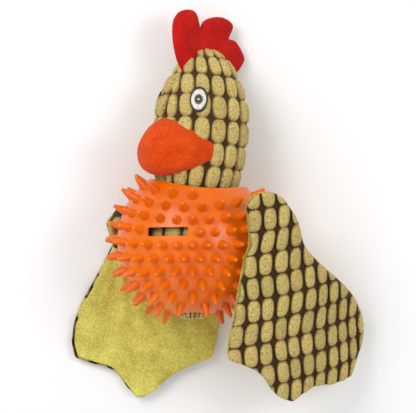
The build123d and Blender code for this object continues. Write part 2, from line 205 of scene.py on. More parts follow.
def ring_faces(rows, columns):
    """Faces of a tube whose rings follow one another, closed round."""
    faces = []
    for i in range(rows - 1):
        for j in range(columns):
            k = (j + 1) % columns
            faces.append((i * columns + j, i * columns + k, (i + 1) * columns + k, (i + 1) * columns + j))
    return faces


def cloth_piece(name, points, faces, material, **marks):
    """A smooth mesh piece in metres. marks are its pile values, one for each point."""
    mesh = bpy.data.meshes.new(name)
    mesh.from_pydata([tuple(p) for p in points], [], faces)
    mesh.validate()
    for label, values in marks.items():
        mark = mesh.attributes.new(label, "FLOAT", "POINT")
        mark.data.foreach_set("value", np.asarray(values, np.float32).ravel())
    mesh.shade_smooth()
    mesh.materials.append(material)
    piece = bpy.data.objects.new(name, mesh)
    bpy.context.scene.collection.objects.link(piece)
    return piece


corn_plush, nodes, links, body = shader("corn_kernel_plush")
place = nodes.new("ShaderNodeTexCoord")
loops = nodes.new("ShaderNodeTexNoise")
loops.inputs["Scale"].default_value = 850
loops.inputs["Detail"].default_value = 3
loops.inputs["Roughness"].default_value = 0.65
links.new(place.outputs["Object"], loops.inputs["Vector"])
curls = nodes.new("ShaderNodeTexVoronoi")
curls.inputs["Scale"].default_value = 780
links.new(place.outputs["Object"], curls.inputs["Vector"])
# The tan ramp reads the same yarn noise as the bump, so its dark end is painted shade in the pits between
# the loops, laid over the yarn's own tan.
tan_and_pit_shade = nodes.new("ShaderNodeValToRGB")
tan_and_pit_shade.color_ramp.elements[0].position = 0.28
tan_and_pit_shade.color_ramp.elements[0].color = (0.28, 0.175, 0.045, 1)
tan_and_pit_shade.color_ramp.elements[1].position = 0.68
tan_and_pit_shade.color_ramp.elements[1].color = (0.74, 0.59, 0.225, 1)
middle_tan = tan_and_pit_shade.color_ramp.elements.new(0.44)
middle_tan.color = (0.56, 0.415, 0.125, 1)
links.new(loops.outputs["Fac"], tan_and_pit_shade.inputs["Fac"])
tone = nodes.new("ShaderNodeAttribute")
tone.attribute_name = "tone"
tone_range = nodes.new("ShaderNodeMapRange")
tone_range.inputs["To Min"].default_value = 0.86
tone_range.inputs["To Max"].default_value = 1.06
links.new(tone.outputs["Fac"], tone_range.inputs["Value"])
toned = nodes.new("ShaderNodeVectorMath")
toned.operation = "SCALE"
links.new(tan_and_pit_shade.outputs["Color"], toned.inputs[0])
links.new(tone_range.outputs["Result"], toned.inputs["Scale"])
cover = nodes.new("ShaderNodeAttribute")
cover.attribute_name = "cover"
ground = nodes.new("ShaderNodeMix")
ground.data_type = "RGBA"
ground.inputs["A"].default_value = (0.066, 0.030, 0.011, 1)
links.new(cover.outputs["Fac"], ground.inputs["Factor"])
links.new(toned.outputs["Vector"], ground.inputs["B"])
links.new(ground.outputs["Result"], body.inputs["Base Color"])
yarn_height = nodes.new("ShaderNodeMath")
yarn_height.operation = "SUBTRACT"
links.new(loops.outputs["Fac"], yarn_height.inputs[0])
links.new(curls.outputs["Distance"], yarn_height.inputs[1])
yarn = nodes.new("ShaderNodeBump")
yarn.inputs["Distance"].default_value = 0.0011
yarn.inputs["Strength"].default_value = 0.7
links.new(yarn_height.outputs["Value"], yarn.inputs["Height"])
links.new(yarn.outputs["Normal"], body.inputs["Normal"])
body.inputs["Roughness"].default_value = 0.95
body.inputs["Specular IOR Level"].default_value = 0.15
body.inputs["Sheen Weight"].default_value = 0.08
body.inputs["Sheen Roughness"].default_value = 0.5

kernel_width = 0.0113
kernel_length = 0.0145
bag_profile = [(0.2, -47.5), (7.5, -47), (8.9, -42), (9.8, -35), (16, -28), (24, -21), (29.0, -14),
               (31.2, -6), (31.4, 4), (29.5, 10), (22, 13.4), (0.2, 13.6)]
ring_count = 96
turn_count = 200
bag = np.array(bag_profile)
run = np.concatenate([[0], np.cumsum(np.hypot(*np.diff(bag, axis=0).T))])
steps = np.linspace(0, run[-1], ring_count)
bag_radius = np.interp(steps, run, bag[:, 0])[:, None]
bag_level = np.interp(steps, run, bag[:, 1])[:, None]
turns = np.linspace(0, 2 * np.pi, turn_count, endpoint=False)[None, :]
height, covered, toned_by = kernel_pile(turns * 16 / (2 * np.pi) + 0.57 + 0 * steps[:, None],
                                        (steps[:, None] * 0.001 / kernel_length) + 0 * turns)
reach = (bag_radius - 1.6 + 2.2 * height * np.clip(bag_radius / 12, 0, 1)) * 0.001
reach = np.maximum(reach, 0.0001)
points = (np.array(ball_centre)[None, None, :]
          + (reach * np.sin(turns))[:, :, None] * np.array(toy_right)
          + (reach * np.cos(turns))[:, :, None] * np.array(toy_front)
          + (bag_level * 0.001 + 0 * turns)[:, :, None] * np.array(neck_way))
bag_faces = ring_faces(ring_count, turn_count)
bag_faces.append(tuple(reversed(range(turn_count))))
bag_faces.append(tuple(range((ring_count - 1) * turn_count, ring_count * turn_count)))
torso_bag = cloth_piece("torso_bag", points.reshape(-1, 3), bag_faces, corn_plush,
                        cover=covered, tone=toned_by)
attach(torso_bag, "torso")
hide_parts("torso_cover", "torso_stuffing")

# ---- head and neck hood ----------------------------------------------------------------
# One plush hood, stuffed with fibre, from the gathered neck inside the ball up to the
# crown. It is sewn from two panels whose seams run down the face and the back.

head_lean = math.radians(4.4)
face_turn = math.radians(-50)
head_way = (neck_way * math.cos(head_lean) + toy_right * math.sin(head_lean)).normalized()
head_right = (toy_right * math.cos(head_lean) - neck_way * math.sin(head_lean)).normalized()
head_front = head_right.cross(head_way).normalized()
hood_radius = 28.8
kernel_columns = 16
eye_turns = (face_turn + math.radians(45), face_turn - math.radians(51))
eye_level = 37.6
side_middle = -33.2
side_round = 62.0
side_end = math.radians(40)
hood_profile = [(0.3, -34.0), (16.0, -34.0), (22.5, -33.0), (24.0, -28.0), (24.0, -18.0), (24.3, -13.0),
                (26.0, -7.0), (27.6, 0.0), (28.7, 12.0), (hood_radius, 25.0)]
for part_turn in np.linspace(0, side_end, 9)[1:]:
    hood_profile.append((side_middle + side_round * math.cos(part_turn),
                         25 + side_round * math.sin(part_turn)))
for part_turn in np.linspace(side_end, math.pi / 2, 10)[1:]:
    hood_profile.append((max(18.66 * math.cos(part_turn), 0.3), 52.86 + 18.66 * math.sin(part_turn)))


def smooth_profile(profile, count):
    """Even steps along a profile: how far along, radius, level, and its outward normal."""
    line = np.array(profile)
    run = np.concatenate([[0], np.cumsum(np.hypot(*np.diff(line, axis=0).T))])
    steps = np.linspace(0, run[-1], count)
    radius = np.interp(steps, run, line[:, 0])
    level = np.interp(steps, run, line[:, 1])
    for _ in range(6):
        radius[1:-1] = (radius[:-2] + 2 * radius[1:-1] + radius[2:]) / 4
        level[1:-1] = (level[:-2] + 2 * level[1:-1] + level[2:]) / 4
    slope = np.stack([np.gradient(level), -np.gradient(radius)], 1)
    slope /= np.linalg.norm(slope, axis=1)[:, None]
    return steps, radius, level, slope


def on_head(radius, level, turn):
    """Places on the head in metres, from millimetres and the turn round it from the front."""
    return (np.array(neck_pivot)
            + 0.001 * (radius * np.sin(turn))[..., None] * np.array(head_right)
            + 0.001 * (radius * np.cos(turn))[..., None] * np.array(head_front)
            + 0.001 * (level + 0 * turn)[..., None] * np.array(head_way))


ring_count = 190
turn_count = 260
steps, radius, level, slope = smooth_profile(hood_profile, ring_count)
turns = np.linspace(0, 2 * np.pi, turn_count, endpoint=False)
from_face = (turns - face_turn) % (2 * np.pi)
panel = np.where(from_face < np.pi, from_face - np.pi / 2, from_face - 3 * np.pi / 2)
narrowing = np.clip(radius / hood_radius, 0.02, 1) ** 0.5
row_at_eye = np.interp(34.5, level[20:], steps[20:])
across = (panel[None, :] * narrowing[:, None] + math.radians(38.5)) * kernel_columns / (2 * np.pi) + 0.5
along = ((steps - row_at_eye) / (kernel_length * 1000) + 0.5)[:, None] + 0 * turns[None, :]
height, covered, toned_by = kernel_pile(across, along)
seam_near = np.minimum(from_face, np.abs(from_face - np.pi))
seam_near = np.minimum(seam_near, 2 * np.pi - from_face)[None, :] * radius[:, None]
height = height * (0.25 + 0.75 * np.clip(seam_near / 1.6, 0, 1))
for eye_turn in eye_turns:
    aside = ((turns - eye_turn + np.pi) % (2 * np.pi) - np.pi)[None, :] * radius[:, None] / 6.4
    up = ((level - eye_level) / 8.8)[:, None]
    inside = np.clip((np.hypot(aside, up) - 0.92) / 0.2, 0, 1)
    height = 0.62 * (1 - inside) + height * inside
kernel_rise = 2.7
ground_depth = 2.4
lift = kernel_rise * height - ground_depth
radii = radius[:, None] + lift * slope[:, :1]
levels = level[:, None] + lift * slope[:, 1:]
points = on_head(np.maximum(radii, 0.1), levels, turns[None, :] + 0 * radii)
flat_points = points.reshape(-1, 3)
outward = flat_points - np.array(neck_pivot)
outward /= np.linalg.norm(outward, axis=1)[:, None]
fuzz = tufts(flat_points, 0.0017, 1) * 0.00035 * covered.reshape(-1)
flat_points = flat_points + outward * fuzz[:, None]
hood_faces = ring_faces(ring_count, turn_count)
hood_faces.append(tuple(reversed(range(turn_count))))
hood_faces.append(tuple(range((ring_count - 1) * turn_count, ring_count * turn_count)))
hood = cloth_piece("head_hood", flat_points, hood_faces, corn_plush, cover=covered, tone=toned_by)
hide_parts("head_cover", "head_stuffing", "neck_cover", "neck_stuffing")
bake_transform(hood)

# The gathering thread is waxed sewing thread, wound round the neck inside the ball.
thread, nodes, links, body = shader("brown_sewing_thread")
place = nodes.new("ShaderNodeTexCoord")
strands = nodes.new("ShaderNodeTexWave")
strands.inputs["Scale"].default_value = 420
strands.inputs["Distortion"].default_value = 2
links.new(place.outputs["Object"], strands.inputs["Vector"])
dye = nodes.new("ShaderNodeValToRGB")
dye.color_ramp.elements[0].color = (0.03, 0.016, 0.008, 1)
dye.color_ramp.elements[1].color = (0.08, 0.045, 0.022, 1)
links.new(strands.outputs["Fac"], dye.inputs["Fac"])
links.new(dye.outputs["Color"], body.inputs["Base Color"])
ply = nodes.new("ShaderNodeBump")
ply.inputs["Distance"].default_value = 0.0003
links.new(strands.outputs["Fac"], ply.inputs["Height"])
links.new(ply.outputs["Normal"], body.inputs["Normal"])
body.inputs["Roughness"].default_value = 0.6
neck_thread = frame["nodes"]["neck_thread"]
neck_thread.data.materials.clear()
neck_thread.data.materials.append(thread)

# ---- comb ------------------------------------------------------------------------------
# Two red fleece faces sewn together round their edge, turned and lightly padded, with three
# round lobes. It is sewn into the seam of the crown.


def fleece(name, dark, light, fuzz_size, fuzz_strength):
    """Brushed fleece: short soft pile with a cloudy lay and a little sheen."""
    made, nodes, links, body = shader(name)
    place = nodes.new("ShaderNodeTexCoord")
    lay = nodes.new("ShaderNodeTexNoise")
    lay.inputs["Scale"].default_value = 70
    lay.inputs["Detail"].default_value = 5
    lay.inputs["Roughness"].default_value = 0.6
    links.new(place.outputs["Object"], lay.inputs["Vector"])
    fibres = nodes.new("ShaderNodeTexNoise")
    fibres.inputs["Scale"].default_value = fuzz_size
    fibres.inputs["Detail"].default_value = 3
    links.new(place.outputs["Object"], fibres.inputs["Vector"])
    both = nodes.new("ShaderNodeMath")
    both.operation = "ADD"
    links.new(lay.outputs["Fac"], both.inputs[0])
    links.new(fibres.outputs["Fac"], both.inputs[1])
    dye = nodes.new("ShaderNodeValToRGB")
    dye.color_ramp.elements[0].position = 0.38
    dye.color_ramp.elements[0].color = dark
    dye.color_ramp.elements[1].position = 0.62
    dye.color_ramp.elements[1].color = light
    half = nodes.new("ShaderNodeMath")
    half.operation = "MULTIPLY"
    half.inputs[1].default_value = 0.5
    links.new(both.outputs["Value"], half.inputs[0])
    links.new(half.outputs["Value"], dye.inputs["Fac"])
    links.new(dye.outputs["Color"], body.inputs["Base Color"])
    nap = nodes.new("ShaderNodeBump")
    nap.inputs["Distance"].default_value = 0.0007
    nap.inputs["Strength"].default_value = fuzz_strength
    links.new(both.outputs["Value"], nap.inputs["Height"])
    links.new(nap.outputs["Normal"], body.inputs["Normal"])
    body.inputs["Roughness"].default_value = 0.95
    body.inputs["Specular IOR Level"].default_value = 0.12
    body.inputs["Sheen Weight"].default_value = 0.07
    body.inputs["Sheen Roughness"].default_value = 0.5
    return made


red_fleece = fleece("red_comb_fleece", (0.36, 0.005, 0.003, 1), (0.60, 0.011, 0.007, 1), 1100, 0.5)


def curve_through(*corners):
    """Points of a smooth line through the given places."""
    given = np.array(corners, float)
    before = np.vstack([2 * given[0] - given[1], given, 2 * given[-1] - given[-2]])
    made = []
    for i in range(len(given) - 1):
        a, b, c, d = before[i:i + 4]
        for t in np.linspace(0, 1, 14, endpoint=False):
            made.append(0.5 * ((2 * b) + (c - a) * t + (2 * a - 5 * b + 4 * c - d) * t * t
                               + (3 * b - a - 3 * c + d) * t ** 3))
    made.append(given[-1])
    return np.array(made)


def edge_distance(places, outline):
    """How far each flat place lies from an outline's nearest edge."""
    start = outline
    along = np.roll(outline, -1, axis=0) - outline
    length = np.maximum((along ** 2).sum(1), 1e-9)
    best = np.full(len(places), 1e9)
    for p, d, l in zip(start, along, length):
        t = np.clip(((places - p) @ d) / l, 0, 1)
        best = np.minimum(best, np.hypot(*(places - p - t[:, None] * d).T))
    return best


comb_line = np.vstack([
    curve_through((18.5, 56.5), (22.5, 62.5), (26.6, 73.5), (27.3, 83.8), (23.4, 90.8), (15.7, 93.2),
                  (10.6, 90.6), (7.0, 82.6))[:-1],
    curve_through((6.9, 82.2), (3.8, 88.0), (-2.6, 91.4), (-10.2, 92.3), (-16.1, 90.4), (-18.0, 87.0),
                  (-15.6, 80.3))[:-1],
    curve_through((-15.5, 80.0), (-21.0, 79.3), (-26.6, 74.2), (-29.4, 69.0), (-26.6, 63.4),
                  (-23.0, 59.0))[:-1],
    curve_through((-22.8, 58.6), (-12.0, 50.0), (0.0, 47.0), (12.0, 50.0), (18.4, 56.2)),
])
comb_middle = np.array((0.0, 63.0))
comb_half = 3.1
shares = 1 - np.linspace(0, 1, 26)[1:] ** 1.6
flat = [comb_line]
for share in shares[:-1]:
    flat.append(comb_middle + (comb_line - comb_middle) * share)
flat = np.array(flat)
ring, around = flat.shape[:2]
inward = edge_distance(flat.reshape(-1, 2), comb_line).reshape(ring, around)
swell = np.clip(inward / 6.0, 0, 1)
thick = comb_half * (0.18 + 0.82 * np.sqrt(1 - (1 - swell) ** 2.2))
thick[0] = 0.0
comb_points = []
comb_across = (head_right * math.sin(face_turn) + head_front * math.cos(face_turn)).normalized()
comb_out = comb_across.cross(head_way).normalized()
for side in (1, -1):
    for i in range(ring):
        for (x, y), t in zip(flat[i], thick[i]):
            comb_points.append(np.array(neck_pivot) + 0.001 * (x * np.array(comb_across)
                               + y * np.array(head_way) + side * t * np.array(comb_out)))
comb_points = np.array(comb_points)
shell = ring * around
comb_faces = []
for i in range(ring - 1):
    for j in range(around):
        k = (j + 1) % around
        comb_faces.append((i * around + j, i * around + k, (i + 1) * around + k, (i + 1) * around + j))
        low = shell if i else 0
        comb_faces.append((low + i * around + k, low + i * around + j,
                           shell + (i + 1) * around + j, shell + (i + 1) * around + k))
comb_faces.append(tuple((ring - 1) * around + j for j in range(around)))
comb_faces.append(tuple(shell + (ring - 1) * around + j for j in reversed(range(around))))


def drop_loose_points(points, faces):
    """The points that faces use, and the faces renumbered to them."""
    used = sorted({v for f in faces for v in f})
    number = {v: i for i, v in enumerate(used)}
    return np.asarray(points)[used], [tuple(number[v] for v in f) for f in faces]


comb_points, comb_faces = drop_loose_points(comb_points, comb_faces)
comb_points = comb_points + tufts(comb_points, 0.009, 2)[:, None] * 0.0004 * np.array(comb_out)
comb = cloth_piece("comb", comb_points, comb_faces, red_fleece)
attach(comb, "head")
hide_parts("comb_left", "comb_right", "comb_padding")

# ---- beak ------------------------------------------------------------------------------
# An orange fleece pillow over the face, stuffed full. Its two corners are sewn to the sides
# of the head and its upper edge slopes down from the middle to them.

orange_fleece = fleece("orange_beak_fleece", (0.54, 0.042, 0.002, 1), (0.76, 0.085, 0.005, 1), 1000, 0.45)
beak_out = head_right * math.sin(face_turn) + head_front * math.cos(face_turn)
beak_side = head_right * math.cos(face_turn) - head_front * math.sin(face_turn)
beak_level = 8.5
beak_rise = 14.6
beak_rings = 44
beak_around = 120
beak_points = []
for i in range(beak_rings + 1):
    share = math.sin(math.pi / 2 * i / beak_rings)
    for j in range(beak_around):
        turn = 2 * math.pi * j / beak_around
        upper = math.sin(turn) > 0
        power = 1.45 if upper else 1.9
        rise = 18.0 if upper else 17.0
        c = abs(math.cos(turn)) / 26.8
        s = abs(math.sin(turn)) / rise
        edge = (c ** power + s ** power) ** (-1 / power)
        x = edge * share * math.cos(turn)
        y = edge * share * math.sin(turn)
        root = math.sqrt(max(27.4 ** 2 - x * x, 30))
        full = max(1 - share ** 2.3, 0) ** 0.5
        out = root + beak_rise * full * (1 - 0.10 * y / 17) - 0.4
        y = y - 2.0 * full
        beak_points.append((x, beak_level + y, out))
back_start = len(beak_points)
for j in range(beak_around):
    x, y, out = beak_points[beak_rings * beak_around + j]
    beak_points.append((x * 0.9, beak_level + (y - beak_level) * 0.9, out * 0.6))
beak_points = np.array([np.array(neck_pivot) + 0.001 * (x * np.array(beak_side) + y * np.array(head_way)
                        + z * np.array(beak_out)) for x, y, z in beak_points])
beak_faces = []
for i in range(1, beak_rings + 1):
    for j in range(beak_around):
        k = (j + 1) % beak_around
        beak_faces.append((i * beak_around + j, (i + 1) * beak_around + j,
                           (i + 1) * beak_around + k, i * beak_around + k))
beak_faces.append(tuple(beak_around + j for j in range(beak_around)))
beak_faces.append(tuple(back_start + j for j in reversed(range(beak_around))))
beak_points, beak_faces = drop_loose_points(beak_points, beak_faces)
beak_points = beak_points + tufts(beak_points, 0.011, 3)[:, None] * 0.0006 * np.array(beak_out)
beak = cloth_piece("beak", beak_points, beak_faces, orange_fleece)
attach(beak, "head")
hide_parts("beak_cover", "beak_stuffing")

# ---- eyes ------------------------------------------------------------------------------
# Satin-stitch embroidery on both sides of the crown: a dark rim, a white ring, a dark
# pupil and one light stitch in its middle, each sewn over the layer below.


def satin(name, colour, light):
    """Embroidery thread with a silky gloss."""
    made, nodes, links, body = shader(name)
    place = nodes.new("ShaderNodeTexCoord")
    threads = nodes.new("ShaderNodeTexNoise")
    threads.inputs["Scale"].default_value = 1500
    threads.inputs["Detail"].default_value = 2
    links.new(place.outputs["Object"], threads.inputs["Vector"])
    dye = nodes.new("ShaderNodeValToRGB")
    dye.color_ramp.elements[0].position = 0.35
    dye.color_ramp.elements[0].color = colour
    dye.color_ramp.elements[1].position = 0.65
    dye.color_ramp.elements[1].color = light
    links.new(threads.outputs["Fac"], dye.inputs["Fac"])
    links.new(dye.outputs["Color"], body.inputs["Base Color"])
    ridge = nodes.new("ShaderNodeBump")
    ridge.inputs["Distance"].default_value = 0.0003
    ridge.inputs["Strength"].default_value = 0.4
    links.new(threads.outputs["Fac"], ridge.inputs["Height"])
    links.new(ridge.outputs["Normal"], body.inputs["Normal"])
    body.inputs["Roughness"].default_value = 0.5
    body.inputs["Sheen Weight"].default_value = 0.1
    return made


dark_satin = satin("dark_eye_thread", (0.014, 0.008, 0.006, 1), (0.035, 0.02, 0.014, 1))
white_satin = satin("white_eye_thread", (0.62, 0.58, 0.50, 1), (0.85, 0.82, 0.75, 1))
eye_layers = [("outline", 5.4, 8.0, 0.0, 1.3, dark_satin, "dark_thread", 60),
              ("white", 4.7, 6.8, 0.25, 1.45, white_satin, "white_thread", 54),
              ("pupil", 2.9, 3.6, 0.6, 1.35, dark_satin, "dark_thread", 36),
              ("glint", 0.85, 0.85, 0.95, 1.15, white_satin, "white_thread", 12)]
head_steps, head_radii, head_levels, head_slope = smooth_profile(hood_profile, 200)
for side_name, eye_turn in (("left", eye_turns[0]), ("right", eye_turns[1])):
    for layer, half_width, half_height, low, rise, material, slot_name, stitches in eye_layers:
        rings = 14
        count = stitches * 4
        eye_points = []
        for face in (0, 1):
            for i in range(rings + 1):
                share = i / rings
                for j in range(count):
                    turn = 2 * math.pi * j / count
                    up = half_height * share * math.sin(turn)
                    aside = half_width * share * math.cos(turn)
                    stitch = 0.10 * math.cos(turn * stitches) * min(share * 2, 1)
                    crown = max(1 - share ** 6, 0) ** 0.5
                    lift = -0.35 if face else low + (rise - low) * 0.55 * crown + stitch
                    at = np.interp(eye_level + up, head_levels[20:], head_radii[20:])
                    eye_points.append(on_head(np.array(at + lift), np.array(eye_level + up),
                                              np.array(eye_turn + aside / at)))
        eye_points = np.array(eye_points)
        side_count = (rings + 1) * count
        eye_faces = []
        for i in range(1, rings):
            for j in range(count):
                k = (j + 1) % count
                eye_faces.append((i * count + j, (i + 1) * count + j, (i + 1) * count + k, i * count + k))
                eye_faces.append((side_count + i * count + k, side_count + (i + 1) * count + k,
                                  side_count + (i + 1) * count + j, side_count + i * count + j))
        rim = rings * count
        for j in range(count):
            k = (j + 1) % count
            eye_faces.append((rim + j, side_count + rim + j, side_count + rim + k, rim + k))
        eye_faces.append(tuple(count + j for j in range(count)))
        eye_faces.append(tuple(side_count + count + j for j in reversed(range(count))))
        eye_points, eye_faces = drop_loose_points(eye_points, eye_faces)
        eye = cloth_piece(f"{side_name}_eye_{layer}_stitches", eye_points, eye_faces, material)
        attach(eye, "head")
        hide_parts(f"{side_name}_eye_{layer}")

# ---- left wing -------------------------------------------------------------------------
# A bell of corn-kernel plush with a lime fleece lining and a sheet of crackling film sewn
# between them. It is rolled over the side of the ball, plush outward, three points down.

lime_fleece = fleece("lime_lining_fleece", (0.46, 0.38, 0.070, 1), (0.76, 0.70, 0.155, 1), 900, 0.5)

film_plastic, nodes, links, body = shader("crackling_film")
place = nodes.new("ShaderNodeTexCoord")
creases = nodes.new("ShaderNodeTexNoise")
creases.inputs["Scale"].default_value = 160
creases.inputs["Detail"].default_value = 4
links.new(place.outputs["Object"], creases.inputs["Vector"])
crackle = nodes.new("ShaderNodeBump")
crackle.inputs["Distance"].default_value = 0.0006
links.new(creases.outputs["Fac"], crackle.inputs["Height"])
links.new(crackle.outputs["Normal"], body.inputs["Normal"])
milky = nodes.new("ShaderNodeValToRGB")
milky.color_ramp.elements[0].color = (0.66, 0.66, 0.63, 1)
milky.color_ramp.elements[1].color = (0.80, 0.80, 0.77, 1)
links.new(creases.outputs["Fac"], milky.inputs["Fac"])
links.new(milky.outputs["Color"], body.inputs["Base Color"])
body.inputs["Roughness"].default_value = 0.25


def even_steps(line, count):
    """Points at even steps along a line of flat places."""
    run = np.concatenate([[0], np.cumsum(np.hypot(*np.diff(line, axis=0).T))])
    steps = np.linspace(0, run[-1], count)
    return np.stack([np.interp(steps, run, line[:, 0]), np.interp(steps, run, line[:, 1])], 1)


def soft_sides(top, right, bottom, left, softness):
    """The same four edges with their corners and points rounded off."""
    sides = [even_steps(line, 160)[:-1] for line in (top, right, bottom[::-1], left[::-1])]
    loop = np.vstack(sides)
    for _ in range(softness):
        loop = (np.roll(loop, 1, axis=0) + 2 * loop + np.roll(loop, -1, axis=0)) / 4
    cuts = [loop[i * 159:(i + 1) * 159 + 1] for i in range(3)] + [np.vstack([loop[3 * 159:], loop[:1]])]
    return cuts[0], cuts[1], cuts[2][::-1], cuts[3][::-1]


def wing_patch(top, right, bottom, left, across_count, along_count):
    """A net of flat places that fills the four edges of a wing. Top and bottom run left to
    right, and left and right run from top to bottom."""
    t = even_steps(top, across_count)[None, :, :]
    b = even_steps(bottom, across_count)[None, :, :]
    l = even_steps(left, along_count)[:, None, :]
    r = even_steps(right, along_count)[:, None, :]
    u = np.linspace(0, 1, across_count)[None, :, None]
    v = np.linspace(0, 1, along_count)[:, None, None]
    corners = ((1 - u) * (1 - v) * t[:, :1] + u * (1 - v) * t[:, -1:]
               + (1 - u) * v * b[:, :1] + u * v * b[:, -1:])
    return (1 - v) * t + v * b + (1 - u) * l + u * r - corners


def net_border(rows, columns):
    """Numbers of the points round a net's edge, in order."""
    first = list(range(columns))
    right = [i * columns + columns - 1 for i in range(1, rows)]
    last = [(rows - 1) * columns + j for j in range(columns - 2, -1, -1)]
    left = [i * columns for i in range(rows - 2, 0, -1)]
    return first + right + last + left


def two_sided(rows, columns):
    """Faces of a closed thin piece from two nets of the same size and the band round them."""
    faces = []
    back = rows * columns
    for i in range(rows - 1):
        for j in range(columns - 1):
            a = i * columns + j
            faces.append((a, a + columns, a + columns + 1, a + 1))
            faces.append((back + a, back + a + 1, back + a + columns + 1, back + a + columns))
    border = net_border(rows, columns)
    for p, q in zip(border, border[1:] + border[:1]):
        faces.append((p, q, back + q, back + p))
    return faces


lean_start = math.radians(28)
lean_drop = math.radians(8.3)
lean_radius = 206.0
wing_thickness = 7.1
roll_up = np.array((0, math.cos(lean_drop), math.sin(lean_drop)))
roll_away = np.array((0, -math.sin(lean_drop), math.cos(lean_drop)))
roll_middle = (np.array((31.0, 33.5, 46.0)) - np.array((1, 0, 0)) * lean_radius * math.sin(lean_start)
               - roll_away * lean_radius * math.cos(lean_start))
ball_place = np.array(ball_centre)


def on_roll(net, depth):
    """Places on the rolled wing in metres, above flat places in millimetres from the ball's
    centre. depth is counted from the lining's free side."""
    reach = lean_radius - wing_thickness / 2 + depth
    across = net[..., 0] - roll_middle[0]
    lift = np.sqrt(np.maximum(reach ** 2 - across ** 2, 1))
    slid = (net[..., 1] - roll_middle[1]) * math.sin(lean_drop)
    height = roll_middle[2] + (lift + slid) / math.cos(lean_drop)
    places = np.stack([net[..., 0], net[..., 1], height], -1)
    return places * 0.001 + ball_place


def roll_cloth(net):
    """Cloth coordinates of flat places on the roll, in millimetres: across and along."""
    places = (on_roll(net, wing_thickness) - ball_place) * 1000 - roll_middle
    return lean_radius * np.arcsin(np.clip(places[..., 0] / lean_radius, -1, 1)), places @ roll_up


left_top = curve_through((31.0, 26.0), (35.0, 33.0), (45.0, 34.5), (54.0, 29.0))
left_right = curve_through((54.0, 29.0), (63.0, 13.0), (66.0, 0.0), (78.0, -15.0), (90.0, -27.5),
                           (101.0, -43.0), (106.0, -64.0), (98.0, -90.0))
left_bottom = np.vstack([
    curve_through((21.0, -66.0), (32.0, -71.5), (41.0, -78.0), (49.0, -90.5), (60.0, -98.0))[:-1],
    curve_through((60.0, -98.0), (73.0, -90.5), (86.0, -91.5), (98.0, -90.0))])
left_left = curve_through((31.0, 26.0), (33.5, 6.0), (30.0, -8.0), (24.0, -40.0), (20.5, -56.0),
                          (21.0, -66.0))
point_softness = 14
left_top, left_right, left_bottom, left_left = soft_sides(left_top, left_right, left_bottom, left_left,
                                                          point_softness)
left_outline = np.vstack([left_top[:-1], left_right[:-1], left_bottom[::-1][:-1], left_left[::-1][:-1]])
rows, columns = 190, 150
net = wing_patch(left_top, left_right, left_bottom, left_left, columns, rows)
inward = edge_distance(net.reshape(-1, 2), left_outline).reshape(rows, columns)
shift_in = np.clip(1 - (net[..., 0] - 20) / 60, 0, 1)
ragged = np.sin(net[..., 1] * 0.42) * 0.5 + 0.8
plush_net = net.copy()
plush_net[..., 0] += shift_in * ragged * 1.2
cloth_across, cloth_along = roll_cloth(plush_net)
columns_at = (cloth_across - 105.3) / 10.6 + 0.5
rows_at = (cloth_along - (16.4 - roll_middle[1])) / 14.0 + 0.5
columns_at = columns_at + 0.10 * np.sin(rows_at * 1.7 + 0.5) + 0.05 * np.sin(columns_at * 1.3 + rows_at)
height, covered, toned_by = kernel_pile(columns_at + 40, rows_at + 40)
wrap = np.clip(inward / 2.6, 0, 1)
shoulder = np.sqrt(1 - (1 - wrap) ** 2)
plush_depth = 2.1
knit_thickness = 1.5
pile_rise = 3.5
top_depth = plush_depth + (knit_thickness + pile_rise * height) * (0.28 + 0.72 * shoulder)
top_points = on_roll(plush_net, top_depth)
flat_top = top_points.reshape(-1, 3)
roll_out = flat_top - (ball_place + roll_middle * 0.001)
roll_out = roll_out - np.outer(roll_out @ roll_up, roll_up)
roll_out /= np.linalg.norm(roll_out, axis=1)[:, None]
ripples = tufts(flat_top, 0.0017, 4) * 0.0004 * covered.reshape(-1)
flat_top = flat_top + roll_out * ripples[:, None]
back_points = on_roll(plush_net, 2.15 + 0 * top_depth).reshape(-1, 3)
left_plush = cloth_piece("left_wing_kernel_plush", np.vstack([flat_top, back_points]),
                         two_sided(rows, columns), corn_plush,
                         cover=np.concatenate([covered.ravel(), 0 * covered.ravel()]),
                         tone=np.concatenate([toned_by.ravel(), toned_by.ravel()]))
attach(left_plush, "left_wing")
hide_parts("left_wing_plush")

roll_net = np.stack(roll_cloth(net), -1)
waves = (0.35 * np.sin(roll_net[..., 0] * 0.16 + roll_net[..., 1] * 0.03) * np.clip(inward / 8, 0, 1))
lining_net = net.copy()
lining_reach = np.clip((net[..., 1] + 50) / 40, 0, 1) * np.clip((30 - net[..., 1]) / 20, 0, 1)
lining_net[..., 0] -= shift_in * 0.9 * lining_reach
lining_front = on_roll(lining_net, 1.35 + 0 * waves).reshape(-1, 3)
lining_back = on_roll(lining_net, 0.3 + 0.3 * np.abs(waves)).reshape(-1, 3)
left_lining = cloth_piece("left_wing_lime_lining", np.vstack([lining_front, lining_back]),
                          two_sided(rows, columns), lime_fleece)
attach(left_lining, "left_wing")
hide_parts("left_wing_lining")

film_middle = net.reshape(-1, 2).mean(0)
film_net = film_middle + (net[::3, ::3] - film_middle) * 0.93
film_rows, film_columns = film_net.shape[:2]
film_top = on_roll(film_net, 1.95 + 0 * film_net[..., 0]).reshape(-1, 3)
film_back = on_roll(film_net, 1.55 + 0 * film_net[..., 0]).reshape(-1, 3)
left_film = cloth_piece("left_wing_crackling_film", np.vstack([film_top, film_back]),
                        two_sided(film_rows, film_columns), film_plastic)
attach(left_film, "left_wing")
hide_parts("left_wing_film")

# ---- right wing ------------------------------------------------------------------------
# The same wing on the other side. It lies flat on the table with its plush down, so its
# lime lining shows, drawn into soft pleats from the shoulder, with kernels along its edge.

